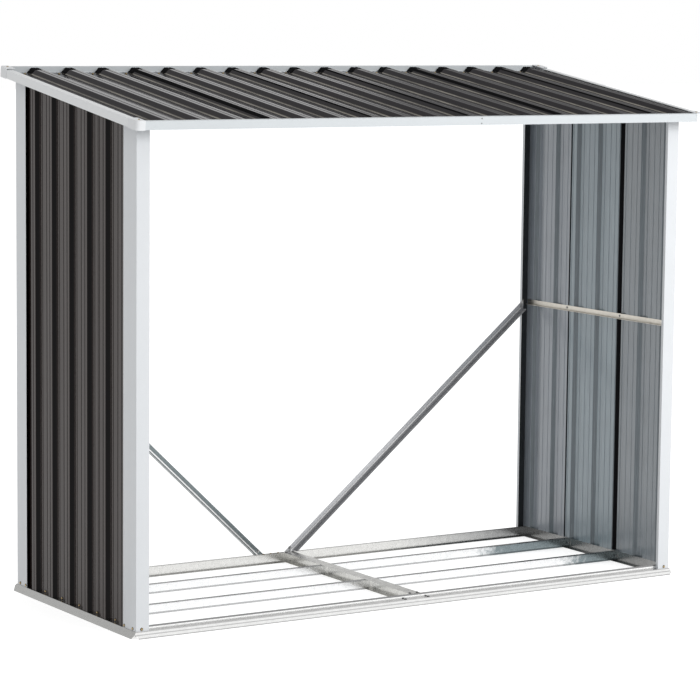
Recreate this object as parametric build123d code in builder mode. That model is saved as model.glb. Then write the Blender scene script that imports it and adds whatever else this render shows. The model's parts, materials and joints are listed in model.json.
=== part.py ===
"""Metal log store: open at the front and back, ribbed sheet sides and a lean-to roof.

Millimetres. X runs along the store, the open front faces -Y, +Z is up, and the
origin is on the ground under the middle of the roof. The pieces are drawn about the
middle of the base frame, and each is moved by frame_shift when it is finished.
"""

import os
from dataclasses import dataclass
from math import ceil, cos, floor, radians, sin, tan

from build123d import *

os.makedirs("parts", exist_ok=True)

# Footprint and heights
post_span_x = 2350.0
post_span_y = 958.0
roof_pitch = 8.25
roof_front_z = 1783.4

# Roof overhangs past the outer faces of the posts
side_overhang = 50.0
front_overhang = 90.0
back_overhang = 38.0

# Sheet and strip thicknesses
sheet_t = 0.8
trim_t = 1.0
post_t = 1.0
rail_t = 1.2
cap_t = 2.0

# Base rail section
rail_height = 40.0
rail_foot = 18.0
ledge_height = 24.0
ledge_width = 18.0
lip_flare = 15.0
lip_corner_cut = 22.0

# Floor members
member_height = 38.0
member_flange = 24.0
joist_flange = 20.0
joist_y_back = 160.0
joist_y_front = -160.0
joist_tab_slope = 10.0
joist_tab_gap = 1.0

# Corner posts
post_side_leg_front = 98.0
post_side_leg_back = 82.0
post_face_leg = 51.0

# Side walls
front_lap_y = -154.0
back_lap_y = 198.0
sheet_lap = 16.0
lap_gap = 0.2
rib_phase_left = 56.0
rib_phase_right = -19.0
mid_rail_z = 977.0
mid_rail_height = 20.0
mid_rail_foot = 16.0
mid_rail_end_gap = 8.0
top_gap = 0.3

# Back braces
brace_width = 30.0
brace_lip = 24.0
brace_foot_left = -135.0
brace_foot_right = 8.0
brace_top_z = 978.0
brace_end_z = 28.0
brace_lip_gap = 1.0
brace_over_post = 6.0

# Roof carriers and trims
beam_height = 28.0
beam_flange = 24.0
fascia_height = 31.0
front_flange = 16.0
side_flange = 25.0
fascia_foot = 8.0
back_fascia_rise = 4.2
fascia_joint = 200.0
cap_length_x = 36.0
cap_length_y = 60.0
cap_radius = 18.0
cap_skirt = 1.5

# Roof sheets
roof_rib_phase = 38.0
ribs_per_roof_sheet = 3
first_lap_rib = -5
roof_sheet_count = 6
roof_end_gap = 5.0
roof_side_gap = 3.0


@dataclass(frozen=True)
class Rib:
    """Pressed rib: spacing, height, width of its flat crown, run of each flank."""

    pitch: float
    height: float
    crown: float
    run: float


wall_rib = Rib(pitch=141.0, height=13.0, crown=36.0, run=14.0)
roof_rib = Rib(pitch=140.0, height=17.0, crown=34.0, run=15.0)

# Planes that several pieces share
post_x = post_span_x / 2
post_y = post_span_y / 2
wall_x = post_x - post_t - sheet_t - wall_rib.height
wall_inset = post_x - wall_x
web_x = wall_x
web_y = post_y - wall_inset
post_return = wall_inset - post_t - rail_t
rail_reach = ledge_width + lip_flare
roof_x = post_x + side_overhang
roof_y_front = -(post_y + front_overhang)
roof_y_back = post_y + back_overhang
slope = tan(radians(roof_pitch))
roof_run = (roof_y_back - roof_y_front) / cos(radians(roof_pitch))
member_z = rail_t
joist_z = member_z + rail_t
joist_height = member_height - 2 * rail_t

# Levels above the underside of the roof sheets, square to the roof
crown_level = roof_rib.height + 2 * sheet_t + lap_gap
trim_top = crown_level + trim_t
trim_foot = trim_top - fascia_height
back_trim_top = trim_top + back_fascia_rise
trim_inset = cap_t
cap_foot = trim_foot - cap_skirt

# The roof leans over the base frame, so its middle lies off the middle of the frame
lean = (trim_top + cap_t + cap_foot) * sin(radians(roof_pitch))
frame_shift = (front_overhang - back_overhang + lean) / 2

up = Vector(0, 0, 1)
roof_normal = Vector(0, -sin(radians(roof_pitch)), cos(radians(roof_pitch)))
down_slope = Vector(0, -cos(radians(roof_pitch)), -sin(radians(roof_pitch)))


def roof_underside(y):
    """Height of the underside of the roof sheets at a depth."""
    return roof_front_z + (y - roof_y_front) * slope


roof_cut = Plane(
    origin=(0, 0, roof_underside(0) - top_gap), x_dir=(1, 0, 0), z_dir=roof_normal
)
roof_deck = Plane(
    origin=(0, roof_y_front, roof_front_z), x_dir=(1, 0, 0), z_dir=roof_normal
)


def keep(piece, label):
    """Set a finished piece under the middle of the roof, label it and write its file."""
    piece.part.move(Location((0, frame_shift, 0)))
    piece.part.label = label
    export_step(piece.part, f"parts/{label}.step")


def rib_level(at, phase, rib):
    """Height of the ribbed outline at a point across the sheet."""
    off = abs((at - phase + rib.pitch / 2) % rib.pitch - rib.pitch / 2)
    reach = rib.crown / 2 + rib.run
    return rib.height * min(1.0, max(0.0, (reach - off) / rib.run))


def ribbed_outline(low, high, phase, rib):
    """Lower line of a ribbed sheet from low to high, as (across, level) pairs."""
    half = rib.crown / 2
    places = [low, high]
    first = floor((low - phase) / rib.pitch) - 1
    last = ceil((high - phase) / rib.pitch) + 1
    for number in range(first, last + 1):
        centre = phase + number * rib.pitch
        for off in (-half - rib.run, -half, half, half + rib.run):
            if low < centre + off < high:
                places.append(centre + off)
    return [(at, rib_level(at, phase, rib)) for at in sorted(places)]


def doubled(line, thickness):
    """Closed outline of a sheet that follows a line, one thickness above it."""
    return line + [(at, level + thickness) for at, level in reversed(line)]


def section_plane(outward, origin=(0, 0, 0)):
    """Plane across a rail, with its x pointing outward and its y up."""
    outward = Vector(*outward)
    return Plane(origin=origin, x_dir=outward, z_dir=outward.cross(up))


def rail_section(web):
    """Base rail section: foot, web, ledge and flared lip, on the current sketch."""
    edge = web + ledge_width
    Polygon((web - rail_t, 0), (web, 0), (web, rail_height), (web - rail_t, rail_height), align=None)
    Polygon((web - rail_foot, 0), (web, 0), (web, rail_t), (web - rail_foot, rail_t), align=None)
    Polygon(
        (web, ledge_height - rail_t),
        (edge - rail_t, ledge_height - rail_t),
        (edge + lip_flare - rail_t, 0),
        (edge + lip_flare, 0),
        (edge, ledge_height),
        (web, ledge_height),
        align=None,
    )


def corner_planes(side, end):
    """Mitre plane and lip cut plane of one corner of the base frame."""
    mitre = Plane(origin=(side * web_x, end * web_y, 0), z_dir=(side, -end, 0))
    cut_x = side * (web_x + rail_reach - lip_corner_cut)
    cut = Plane(origin=(cut_x, end * (web_y + rail_reach), 0), z_dir=(side, end, 0))
    return mitre, cut


def base_rail_half(side, end):
    """Half of the front or back base rail, mitred at its corner."""
    mitre, cut = corner_planes(side, end)
    length = web_x + rail_reach
    with BuildPart() as rail:
        with BuildSketch(section_plane((0, end, 0))):
            rail_section(web_y)
        extrude(amount=length if side == end else -length)
        split(bisect_by=mitre, keep=Keep.BOTTOM)
        split(bisect_by=cut, keep=Keep.BOTTOM)
    return rail


def base_rail_side(side):
    """Side base rail, mitred at both corners."""
    with BuildPart() as rail:
        with BuildSketch(section_plane((side, 0, 0))):
            rail_section(web_x)
        extrude(amount=web_y + rail_reach, both=True)
        for end in (-1, 1):
            mitre, cut = corner_planes(side, end)
            split(bisect_by=mitre, keep=Keep.TOP)
            split(bisect_by=cut, keep=Keep.BOTTOM)
    return rail


def cross_member(side):
    """One of the two channels that stand back to back under the middle."""
    with BuildPart() as member:
        with BuildSketch(Plane.XZ):
            for low, high, reach in (
                (0, member_height, rail_t),
                (0, rail_t, member_flange),
                (member_height - rail_t, member_height, member_flange),
            ):
                Polygon(
                    (0, member_z + low),
                    (side * reach, member_z + low),
                    (side * reach, member_z + high),
                    (0, member_z + high),
                    align=None,
                )
        extrude(amount=web_y - rail_t, both=True)
    return member


def floor_joist(side, y):
    """Floor joist from the side rail to the cross member, with a tab in its channel."""
    outer = web_x - rail_t
    inner = member_flange
    tab = rail_t + joist_tab_gap
    top = joist_z + joist_height
    with BuildPart() as joist:
        with BuildSketch(Plane.XZ.offset(-y)):
            Polygon(
                (side * outer, joist_z),
                (side * outer, top),
                (side * tab, top),
                (side * (tab + joist_tab_slope), joist_z),
                align=None,
            )
        extrude(amount=-rail_t)
        for level in (joist_z, top - rail_t):
            with BuildSketch(Plane.XY.offset(level)):
                Polygon(
                    (side * inner, y),
                    (side * outer, y),
                    (side * outer, y + joist_flange),
                    (side * inner, y + joist_flange),
                    align=None,
                )
            extrude(amount=rail_t)
    return joist


def corner_post(side, end, side_leg):
    """Corner post: an angle with a small return on its face leg."""
    x = side * post_x
    y = end * post_y
    edge = side * (post_x - post_face_leg)
    with BuildPart() as post:
        with BuildSketch(Plane.XY.offset(ledge_height)):
            Polygon(
                (x, y),
                (x, y - end * side_leg),
                (x - side * post_t, y - end * side_leg),
                (x - side * post_t, y - end * post_t),
                (edge + side * post_t, y - end * post_t),
                (edge + side * post_t, y - end * (post_t + post_return)),
                (edge, y - end * (post_t + post_return)),
                (edge, y),
                align=None,
            )
        extrude(amount=roof_underside(roof_y_back))
        split(bisect_by=roof_cut, keep=Keep.BOTTOM)
    return post


def wall_sheet(side, low, high, phase, lift):
    """Ribbed wall sheet between two depths, cut to the slope of the roof."""
    line = ribbed_outline(low, high, phase, wall_rib)
    outline = [(side * (wall_x + lift + level), at) for at, level in doubled(line, sheet_t)]
    with BuildPart() as sheet:
        with BuildSketch(Plane.XY.offset(ledge_height)):
            Polygon(*outline, align=None)
        extrude(amount=roof_underside(roof_y_back))
        split(bisect_by=roof_cut, keep=Keep.BOTTOM)
    return sheet


def mid_rail(side):
    """Angle along the inside of a side wall, at half height."""
    face = wall_x
    with BuildPart() as rail:
        with BuildSketch(section_plane((side, 0, 0))):
            for low, high, reach in ((0, mid_rail_height, rail_t), (0, rail_t, mid_rail_foot)):
                Polygon(
                    (face - reach, mid_rail_z + low),
                    (face, mid_rail_z + low),
                    (face, mid_rail_z + high),
                    (face - reach, mid_rail_z + high),
                    align=None,
                )
        extrude(amount=post_y - mid_rail_end_gap, both=True)
    return rail


def back_brace(side, foot_x):
    """Angle from the middle of the back rail up to a back post."""
    end_x = side * (post_x - post_face_leg + brace_over_post)
    run = end_x - foot_x
    rise = brace_top_z - rail_height
    length = (run**2 + rise**2) ** 0.5
    along = Vector(run, 0, rise).normalized()
    across = Vector(0, side, 0).cross(along)
    foot = Vector(foot_x, web_y, rail_height) - along * brace_width
    section = Plane(origin=foot, x_dir=across, z_dir=along)
    half = brace_width / 2
    with BuildPart() as brace:
        with BuildSketch(section):
            for low, high, near, far in (
                (-half, half, 0, rail_t),
                (half - rail_t, half, -brace_lip, 0),
            ):
                Polygon(
                    (low, side * near), (high, side * near), (high, side * far), (low, side * far),
                    align=None,
                )
        extrude(amount=length + 2 * brace_width)
        split(bisect_by=Plane(origin=(end_x, 0, 0), z_dir=(side, 0, 0)), keep=Keep.BOTTOM)
        split(bisect_by=Plane(origin=(0, 0, brace_end_z), z_dir=(0, 0, 1)), keep=Keep.TOP)
        with BuildSketch(Plane.XY.offset(rail_height + brace_lip_gap)):
            with Locations((foot_x, web_y - brace_lip)):
                Rectangle(8 * brace_width, 2 * brace_lip)
        extrude(amount=-rail_height, mode=Mode.SUBTRACT)
    return brace


def roof_beam(end):
    """Channel behind the post returns that carries one end of the roof sheets."""
    face = post_y - post_t - post_return
    outer = roof_underside(end * face) - top_gap
    inner = roof_underside(end * (face - beam_flange)) - top_gap
    foot = outer - beam_height
    with BuildPart() as beam:
        with BuildSketch(section_plane((0, end, 0))):
            Polygon(
                (face, foot),
                (face, outer),
                (face - beam_flange, inner),
                (face - beam_flange, inner - rail_t),
                (face - rail_t, outer - rail_t - abs(slope) * rail_t),
                (face - rail_t, foot + rail_t),
                (face - beam_flange, foot + rail_t),
                (face - beam_flange, foot),
                align=None,
            )
        extrude(amount=wall_x, both=True)
    return beam


def roof_sheet(low, high, lift):
    """Ribbed roof sheet between two places along the store."""
    line = ribbed_outline(low, high, roof_rib_phase, roof_rib)
    outline = [(at, lift + level) for at, level in doubled(line, sheet_t)]
    gap = cap_t + trim_t + roof_end_gap
    start = roof_deck.from_local_coords(Vector(0, roof_run - gap, 0))
    with BuildPart() as sheet:
        with BuildSketch(Plane(origin=start, x_dir=(1, 0, 0), z_dir=down_slope)):
            Polygon(*outline, align=None)
        extrude(amount=roof_run - 2 * gap)
    return sheet


def fascia_end_section(end, origin):
    """Plane across the front or back fascia, x outward from the roof, y off the roof."""
    return Plane(origin=origin, x_dir=down_slope * -end, z_dir=(end, 0, 0))


def fascia_end(end, low, high):
    """Front or back fascia piece: the front one has a flange on the sheets."""
    edge = trim_inset if end < 0 else roof_run - trim_inset
    origin = roof_deck.from_local_coords(Vector(low if end < 0 else high, edge, 0))
    head = [(0, back_trim_top), (-trim_t, back_trim_top)]
    if end < 0:
        head = [
            (0, trim_top),
            (-front_flange, trim_top),
            (-front_flange, trim_top - trim_t),
            (-trim_t, trim_top - trim_t),
        ]
    with BuildPart() as fascia:
        with BuildSketch(fascia_end_section(end, origin)):
            Polygon(
                (0, trim_foot),
                *head,
                (-trim_t, trim_foot + trim_t),
                (-fascia_foot, trim_foot + trim_t),
                (-fascia_foot, trim_foot),
                align=None,
            )
        extrude(amount=low - high)
    return fascia


def fascia_side(side):
    """Side fascia that follows the slope, with a flange on the edge of the sheets."""
    face = roof_x - trim_inset
    start = roof_deck.from_local_coords(Vector(0, cap_radius + cap_t, 0))
    with BuildPart() as fascia:
        with BuildSketch(Plane(origin=start, x_dir=(side, 0, 0), z_dir=down_slope * side)):
            Polygon(
                (face, trim_foot),
                (face, trim_top),
                (face - side_flange, trim_top),
                (face - side_flange, trim_top - trim_t),
                (face - trim_t, trim_top - trim_t),
                (face - trim_t, trim_foot + trim_t),
                (face - fascia_foot, trim_foot + trim_t),
                (face - fascia_foot, trim_foot),
                align=None,
            )
        extrude(amount=-side * (roof_run - 2 * (cap_radius + cap_t)))
        with BuildSketch(roof_deck.offset(trim_top)):
            Polygon(
                (side * (face - trim_t), 0),
                (side * (face - side_flange), 0),
                (side * (face - side_flange), trim_inset + front_flange),
                (side * (face - trim_t), trim_inset + front_flange),
                align=None,
            )
        extrude(amount=-2 * trim_t, mode=Mode.SUBTRACT)
    return fascia


def roof_cap(side, end):
    """Moulded cap over one corner of the roof trims, open below and inward."""
    top = (trim_top if end < 0 else back_trim_top) + cap_t
    corner_y = 0 if end < 0 else roof_run
    with BuildPart() as cap:
        for size, radius, inset, level, mode in (
            (0, cap_radius, 0, top, Mode.ADD),
            (cap_t, cap_radius - cap_t, cap_t, top - cap_t, Mode.SUBTRACT),
        ):
            with BuildSketch(roof_deck.offset(cap_foot)) as plan:
                x_near = roof_x - inset
                x_far = roof_x - cap_length_x - size
                y_near = corner_y - end * inset
                y_far = corner_y - end * (cap_length_y + size)
                Polygon(
                    (side * x_near, y_near),
                    (side * x_far, y_near),
                    (side * x_far, y_far),
                    (side * x_near, y_far),
                    align=None,
                )
                corner = Vector(side * x_near, y_near)
                fillet(plan.vertices().sort_by_distance(corner)[0], radius=radius)
            extrude(amount=level - cap_foot, mode=mode)
    return cap


sides = {"left": -1, "right": 1}
ends = {"front": -1, "back": 1}

for side_name, side in sides.items():
    for end_name, end in ends.items():
        keep(base_rail_half(side, end), f"base_rail_{end_name}_{side_name}")
    keep(base_rail_side(side), f"base_rail_side_{side_name}")
    keep(cross_member(side), f"cross_member_{side_name}")
    for end_name, y in (("front", joist_y_front), ("back", joist_y_back)):
        keep(floor_joist(side, y), f"floor_joist_{end_name}_{side_name}")
    for end_name, leg in (("front", post_side_leg_front), ("back", post_side_leg_back)):
        keep(corner_post(side, ends[end_name], leg), f"post_{end_name}_{side_name}")

wall_reach = post_y - post_t
half_wall_lap = sheet_lap / 2
wall_sheets = {
    "front": (-wall_reach, front_lap_y + half_wall_lap, 0),
    "middle": (front_lap_y - half_wall_lap, back_lap_y + half_wall_lap, sheet_t + lap_gap),
    "back": (back_lap_y - half_wall_lap, wall_reach, 0),
}
for side_name, phase in (("left", rib_phase_left), ("right", rib_phase_right)):
    for place, (low, high, lift) in wall_sheets.items():
        keep(wall_sheet(sides[side_name], low, high, phase, lift), f"wall_sheet_{place}_{side_name}")
    keep(mid_rail(sides[side_name]), f"mid_rail_{side_name}")

keep(back_brace(-1, brace_foot_left), "back_brace_left")
keep(back_brace(1, brace_foot_right), "back_brace_right")
keep(roof_beam(-1), "roof_beam_front")
keep(roof_beam(1), "roof_beam_back")

roof_edge = roof_x - cap_t - trim_t - roof_side_gap
half_lap = roof_rib.crown / 2
for number in range(roof_sheet_count):
    lap_rib = first_lap_rib + ribs_per_roof_sheet * number
    low = roof_rib_phase + (lap_rib - ribs_per_roof_sheet) * roof_rib.pitch - half_lap
    high = roof_rib_phase + lap_rib * roof_rib.pitch + half_lap
    low = -roof_edge if number == 0 else low
    high = roof_edge if number == roof_sheet_count - 1 else high
    lift = (number % 2) * (sheet_t + lap_gap)
    keep(roof_sheet(low, high, lift), f"roof_sheet_{number + 1}")

fascia_edge = roof_x - cap_t - cap_radius
keep(fascia_end(-1, -fascia_edge, fascia_joint), "fascia_front_left")
keep(fascia_end(-1, fascia_joint, fascia_edge), "fascia_front_right")
keep(fascia_end(1, -fascia_edge, -fascia_joint), "fascia_back_left")
keep(fascia_end(1, -fascia_joint, fascia_edge), "fascia_back_right")
for side_name, side in sides.items():
    keep(fascia_side(side), f"fascia_side_{side_name}")
    for end_name, end in ends.items():
        keep(roof_cap(side, end), f"roof_cap_{end_name}_{side_name}")
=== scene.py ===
"""Metal log store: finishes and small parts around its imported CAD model.

Metres, in the frame of the CAD model: X runs along the store, the open front faces -Y
and +Z is up. Each sub-assembly is a class that holds its sizes and dresses its own part
of the store. Every finish is a small class that builds one procedural material.
"""

import json
import logging
from dataclasses import dataclass
from enum import Enum
from math import cos, pi, radians, sin, tan
from typing import Callable, Iterable, Sequence

import bmesh
import bpy
from mathutils import Matrix, Vector

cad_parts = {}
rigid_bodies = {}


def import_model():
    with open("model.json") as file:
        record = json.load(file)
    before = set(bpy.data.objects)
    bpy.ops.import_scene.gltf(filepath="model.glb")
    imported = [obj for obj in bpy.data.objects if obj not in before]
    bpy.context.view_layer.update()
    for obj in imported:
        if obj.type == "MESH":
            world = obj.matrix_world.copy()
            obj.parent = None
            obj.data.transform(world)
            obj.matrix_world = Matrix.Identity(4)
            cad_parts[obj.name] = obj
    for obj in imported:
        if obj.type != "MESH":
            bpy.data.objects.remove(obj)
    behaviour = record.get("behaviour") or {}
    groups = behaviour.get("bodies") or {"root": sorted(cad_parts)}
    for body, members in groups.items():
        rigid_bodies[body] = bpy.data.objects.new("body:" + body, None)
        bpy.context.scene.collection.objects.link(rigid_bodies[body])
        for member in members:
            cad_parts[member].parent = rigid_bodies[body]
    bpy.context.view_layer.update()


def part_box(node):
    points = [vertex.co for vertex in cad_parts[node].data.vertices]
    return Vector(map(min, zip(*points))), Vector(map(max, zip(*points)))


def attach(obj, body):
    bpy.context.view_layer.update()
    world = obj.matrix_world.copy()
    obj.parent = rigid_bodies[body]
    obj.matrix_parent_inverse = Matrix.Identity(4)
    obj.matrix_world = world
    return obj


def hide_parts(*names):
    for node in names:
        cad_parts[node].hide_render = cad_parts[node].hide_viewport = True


LOG = logging.getLogger("log_store")
MM = 0.001
FRAME_SHIFT = 26.653 * MM  # middle of the roof to the middle of the base frame

Colour = tuple[float, float, float]
Socket = bpy.types.NodeSocket
Line = list[tuple[float, float]]

MID_TONE: Colour = (0.5, 0.5, 0.5)


class Place(Enum):
    """Places that node names mention by their word."""

    @property
    def word(self) -> str:
        """Word for the place in node names."""
        return self.name.lower()


class Side(Place):
    """The two side walls, by the sign of their X."""

    LEFT = -1
    RIGHT = 1

    def outer(self, low: Vector, high: Vector) -> float:
        """X of the face of a box that points away from the store."""
        return high.x if self is Side.RIGHT else low.x

    def inner(self, low: Vector, high: Vector) -> float:
        """X of the face of a box that points into the store."""
        return low.x if self is Side.RIGHT else high.x


class End(Place):
    """The open front and the open back, by the sign of their Y."""

    FRONT = -1
    BACK = 1


class Slot(Enum):
    """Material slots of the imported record."""

    STEEL = "galvanised_steel"
    TRIM = "white_trim"
    WALL = "dark_sheet"
    ROOF = "roof_sheet"
    CAP = "white_cap"


class Run(Enum):
    """Axis that a rolled sheet or strip runs along, as stretch factors for its grain."""

    ALONG_X = (0.03, 1.0, 1.0)
    ALONG_Y = (1.0, 0.03, 1.0)
    ALONG_Z = (1.0, 1.0, 0.03)


def srgb(red: int, green: int, blue: int) -> Colour:
    """Linear colour of an sRGB colour given from 0 to 255."""
    values = (red / 255, green / 255, blue / 255)
    return tuple(v / 12.92 if v <= 0.04045 else ((v + 0.055) / 1.055) ** 2.4 for v in values)


class Graph:
    """Adds and links the shader nodes of one material or world."""

    def __init__(self, tree: bpy.types.NodeTree) -> None:
        """Start on an empty tree.

        Args:
            tree: The node tree to fill.
        """
        self.tree = tree
        tree.nodes.clear()

    def add(self, kind: str, **settings: object) -> bpy.types.Node:
        """Add a node.

        Args:
            kind: Shader node type, without its ShaderNode prefix.
            settings: Values of the node's own properties.

        Returns:
            The new node.
        """
        node = self.tree.nodes.new("ShaderNode" + kind)
        for name, value in settings.items():
            setattr(node, name, value)
        return node

    def feed(self, into: Socket, value: object) -> None:
        """Link a socket into an input, or set the input to a value."""
        if isinstance(value, bpy.types.NodeSocket):
            self.tree.links.new(value, into)
        elif hasattr(into.default_value, "__len__") and len(into.default_value) == 4:
            into.default_value = (*value, 1.0)
        else:
            into.default_value = value

    def fill(self, node: bpy.types.Node, values: dict[str | int, object]) -> None:
        """Feed several inputs of a node, by their names or numbers."""
        for name, value in values.items():
            self.feed(node.inputs[name], value)

    def operate(self, kind: str, operation: str, *values: object) -> bpy.types.Node:
        """Add a node that works on values.

        Args:
            kind: Shader node type, without its ShaderNode prefix.
            operation: What the node does.
            values: Numbers, vectors or sockets for its inputs, in order.

        Returns:
            The new node.
        """
        node = self.add(kind, operation=operation)
        self.fill(node, dict(enumerate(values)))
        return node

    def math(self, operation: str, *values: object) -> Socket:
        """Result of a Math node on up to three numbers or sockets."""
        return self.operate("Math", operation, *values).outputs[0]

    def vector(self, operation: str, *values: object) -> Socket:
        """Resulting vector of a Vector Math node."""
        return self.operate("VectorMath", operation, *values).outputs[0]

    def along(self, place: Socket, direction: Sequence[float]) -> Socket:
        """How far a place lies along a direction."""
        return self.operate("VectorMath", "DOT_PRODUCT", place, direction).outputs["Value"]

    def scaled(self, value: Socket, factor: object) -> Socket:
        """Vector or colour times a number.

        Args:
            value: Vector or colour.
            factor: Number or socket.

        Returns:
            The product.
        """
        node = self.operate("VectorMath", "SCALE", value)
        self.feed(node.inputs["Scale"], factor)
        return node.outputs[0]

    def axes(self, value: Socket) -> Sequence[Socket]:
        """Split a vector.

        Args:
            value: Vector.

        Returns:
            Its X, Y and Z.
        """
        node = self.add("SeparateXYZ")
        self.feed(node.inputs[0], value)
        return node.outputs

    def blend(self, factor: object, first: object, second: object) -> Socket:
        """Colour that goes from one to another.

        Args:
            factor: Share of the second, from 0 to 1.
            first: Colour at 0.
            second: Colour at 1.

        Returns:
            The colour.
        """
        node = self.add("Mix", data_type="RGBA")
        self.fill(node, {0: factor, 6: first, 7: second})
        return node.outputs[2]

    def spread(
        self, value: Socket, low: float, high: float, start: float = 0.0, end: float = 1.0
    ) -> Socket:
        """Number taken from one range to another, and held at its ends.

        Args:
            value: Number to take.
            low: Result at the start of the first range.
            high: Result at its end.
            start: Start of the first range.
            end: End of the first range.

        Returns:
            The result.
        """
        node = self.add("MapRange")
        self.fill(
            node,
            {"Value": value, "From Min": start, "From Max": end, "To Min": low, "To Max": high}
        )
        return node.outputs[0]

    def band(
        self, value: Socket, middle: float, reach: Sequence[float], inside: float = 1.0,
        outside: float = 0.0
    ) -> Socket:
        """Number that differs in a soft-edged band.

        Args:
            value: Number that the band lies across.
            middle: Value in the middle of the band.
            reach: Distances from the middle where its soft edge starts and ends.
            inside: Result in the band.
            outside: Result beyond it.

        Returns:
            The result.
        """
        away = self.math("ABSOLUTE", self.math("SUBTRACT", value, middle))
        return self.spread(away, inside, outside, *reach)

    def place(self) -> Socket:
        """Place on the object, in metres."""
        return self.add("TexCoord").outputs["Object"]

    def grain(
        self, place: Socket, scale: float, stretch: Sequence[float] = (1, 1, 1), detail: float = 3.0
    ) -> Socket:
        """Noise from 0 to 1.

        Args:
            place: Place that the noise is read at.
            scale: Noise cells in a metre.
            stretch: Factor on each axis; a small one draws the noise out along it.
            detail: Octaves of finer noise.

        Returns:
            The noise value.
        """
        moved = self.vector("MULTIPLY", place, tuple(stretch))
        node = self.add("TexNoise")
        self.fill(node, {"Vector": moved, "Scale": scale, "Detail": detail})
        return node.outputs["Fac"]

    def relief(self, height: Socket, depth: float, under: Socket | None = None) -> Socket:
        """Normal of a surface with a relief.

        Args:
            height: Relief, from 0 to 1.
            depth: Height of the full relief, in metres.
            under: Normal that this relief is added to.

        Returns:
            The normal.
        """
        node = self.add("Bump")
        self.fill(node, {"Distance": depth, "Height": height})
        if under is not None:
            self.feed(node.inputs["Normal"], under)
        return node.outputs[0]


def toned(colour: Colour, factor: float, limit: float = 1.0) -> Colour:
    """Colour times a factor, held under a limit."""
    return tuple(min(limit, value * factor) for value in colour)


def surface(name: str) -> tuple[bpy.types.Material, Graph, bpy.types.Node]:
    """New material with one Principled shader.

    Args:
        name: Name of the material.

    Returns:
        The material, its graph and its Principled node.
    """
    material = bpy.data.materials.new(name)
    material.use_nodes = True
    graph = Graph(material.node_tree)
    shader = graph.add("BsdfPrincipled")
    output = graph.add("OutputMaterial")
    graph.feed(output.inputs["Surface"], shader.outputs[0])
    return material, graph, shader


@dataclass(frozen=True)
class CoilCoat:
    """Baked coil coating on rolled sheet: roller lines along it, slow waves in the sheet."""

    name: str
    colour: Colour
    run: Run
    roughness: float = 0.16
    wave: float = 0.0011
    sheen: Colour = (1.0, 1.0, 1.0)
    shine: float = 0.5
    clear_coat: float = 0.0
    line_pitch: float = 0.0
    line_at: float = 0.0
    line_reach: tuple[float, float] = (0.02, 0.036)
    line_colour: Colour = (0.34, 0.32, 0.275)

    def material(self) -> bpy.types.Material:
        """Build the material.

        Returns:
            The material.
        """
        made, graph, shader = surface(self.name)
        place = graph.place()
        stretch = self.run.value
        streak = graph.grain(place, 260, stretch, 2)
        cloud = graph.grain(place, 6, detail=2)
        mixed = graph.math(
            "ADD", graph.math("MULTIPLY", streak, 0.7), graph.math("MULTIPLY", cloud, 0.3)
        )
        tone = graph.spread(mixed, 0.0, 1.0, 0.3, 0.7)
        colour = graph.blend(tone, toned(self.colour, 0.86), toned(self.colour, 1.15))
        # painted highlight: a light line at each rib foot stands in for a reflected strip of light
        if self.line_pitch:
            colour = graph.blend(self.pressed_line(graph, place, cloud), colour, self.line_colour)
        waves = graph.relief(graph.grain(place, 9, stretch, 1), self.wave)
        lines = graph.relief(streak, 0.00006, waves)
        graph.fill(shader, {
            "Base Color": colour,
            "Roughness": graph.spread(streak, self.roughness - 0.03, self.roughness + 0.04),
            "Specular Tint": self.sheen,
            "Specular IOR Level": self.shine,
            "Coat Weight": self.clear_coat,
            "Coat Roughness": self.roughness,
            "Normal": graph.relief(graph.grain(place, 1400), 0.00001, lines),
        })
        return made

    def pressed_line(self, graph: Graph, place: Socket, cloud: Socket) -> Socket:
        """Mask of the painted highlight line at the foot of each rib, uneven along it.

        Args:
            graph: Graph of the material.
            place: Place on the object.
            cloud: Slow noise that breaks up the line.

        Returns:
            The mask.
        """
        offset = graph.math("SUBTRACT", graph.axes(place)[0], self.line_at)
        turn = graph.math("FRACT", graph.math("DIVIDE", offset, self.line_pitch))
        line = graph.band(turn, 0.5, self.line_reach)
        return graph.math("MULTIPLY", line, graph.spread(cloud, 0.55, 1.0, 0.35, 0.6))


@dataclass(frozen=True)
class SatinPaint:
    """Satin white paint on a trim, with a faint roller grain along it."""

    name: str
    colour: Colour
    run: Run
    roughness: float = 0.38
    cloud: float = 16.0
    wave: float = 10.0

    def material(self) -> bpy.types.Material:
        """Build the material.

        Returns:
            The material.
        """
        made, graph, shader = surface(self.name)
        place = graph.place()
        cloud = graph.grain(place, self.cloud, detail=3)
        lines = graph.grain(place, 320, self.run.value, 2)
        waves = graph.relief(graph.grain(place, self.wave, self.run.value, 1), 0.0005)
        paint = graph.blend(cloud, toned(self.colour, 0.965), self.colour)
        graph.fill(shader, {
            "Base Color": self.cover(graph, place, paint),
            "Roughness": graph.spread(cloud, self.roughness - 0.05, self.roughness + 0.08),
            "Normal": graph.relief(lines, 0.00003, waves),
        })
        return made

    def cover(self, graph: Graph, place: Socket, paint: Socket) -> Socket:
        """Colour of each face: the paint, on a trim."""
        return paint


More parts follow.
